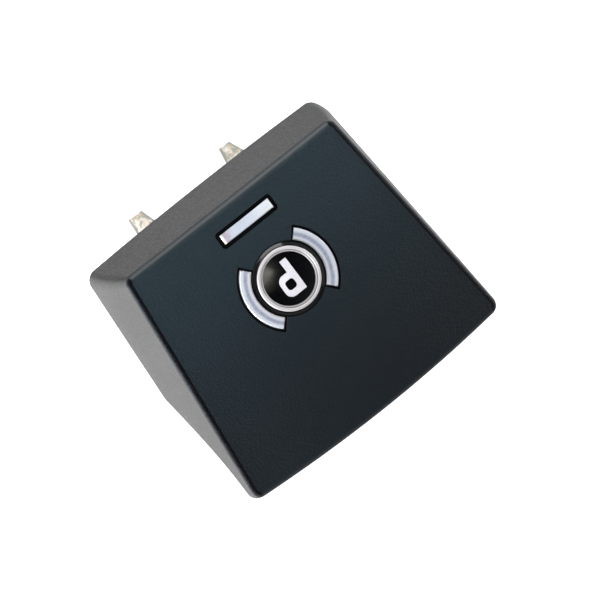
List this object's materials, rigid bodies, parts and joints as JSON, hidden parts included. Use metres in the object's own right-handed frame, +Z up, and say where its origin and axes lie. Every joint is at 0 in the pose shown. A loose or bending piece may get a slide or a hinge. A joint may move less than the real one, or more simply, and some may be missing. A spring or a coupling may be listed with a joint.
{
  "type": "parking brake paddle switch",
  "caption": "Wedge-shaped push-pull paddle on a low snap-in switch base: rocks about a cross pin, with a lit round symbol, an indicator bar and clear light-guide prongs at the rear.",
  "frame": {"origin": "centre of the base's flat underside, on the console seat", "axes": "+Z up out of the console, +Y to the finger lip, +X to the right seen from behind the lip"},
  "size_m": [0.0324, 0.03, 0.0205],
  "materials": {
    "soft_black": "fine leather grain, soft-touch coated",
    "gloss_black": "polished piano black",
    "silver_ring": "satin silver",
    "lens_white": "milky translucent, polished bevel",
    "letter_white": "satin white inlay",
    "diffuser_milk": "opal",
    "clear_guide": "clear moulded light guide",
    "black_frame": "moulded satin",
    "natural_nylon": "natural nylon",
    "steel": "bright zinc plated",
    "spring_steel": "spring wire and strip",
    "board_green": "solder-masked laminate",
    "contact_brass": "plated contact metal"
  },
  "bodies": {
    "base": {"pivot_pin": "steel", "pin_clips": "spring_steel", "base_housing": "black_frame", "base_plate": "black_frame", "plate_screws": "steel", "circuit_board": "board_green", "contact_pads": "contact_brass", "connector_shroud": "natural_nylon", "terminal_pins": "contact_brass", "symbol_light_pipe": "clear_guide", "indicator_light_pipe": "clear_guide", "console_clips": "spring_steel", "push_spring": "spring_steel", "pull_spring": "spring_steel"},
    "paddle": {"cap_shell": "soft_black", "symbol_bezel": "gloss_black", "symbol_ring": "silver_ring", "arc_lens_left": "lens_white", "arc_lens_right": "lens_white", "badge_disc": "gloss_black", "badge_letter": "letter_white", "indicator_bezel": "gloss_black", "indicator_lens": "lens_white", "symbol_diffuser": "diffuser_milk", "light_baffle": "black_frame", "paddle_carrier": "black_frame", "carrier_screws": "steel", "pivot_bushes": "natural_nylon"},
    "push_plunger": {"push_plunger": "natural_nylon", "push_bridge": "contact_brass"},
    "pull_plunger": {"pull_plunger": "natural_nylon", "pull_bridge": "contact_brass"}
  },
  "joints": [
    {"name": "paddle_tilt", "type": "hinge", "parent": "base", "child": "paddle", "pos_m": [0, -0.0032, 0.0125], "axis": [1, 0, 0], "range_deg": [-6, 6], "stiffness_Nm_per_rad": 0.3},
    {"name": "push_plunger_slide", "type": "slide", "parent": "base", "child": "push_plunger", "axis": [0, 0, 1], "range_m": [-0.00037652, 0.00037652], "deforming": ["push_spring"]},
    {"name": "pull_plunger_slide", "type": "slide", "parent": "base", "child": "pull_plunger", "axis": [0, 0, 1], "range_m": [-0.00037652, 0.00037652], "deforming": ["pull_spring"]}
  ],
  "couplings": [
    {"joint": "push_plunger_slide", "follows": "paddle_tilt", "m_per_rad": 0.0035},
    {"joint": "pull_plunger_slide", "follows": "paddle_tilt", "m_per_rad": -0.0035}
  ]
}
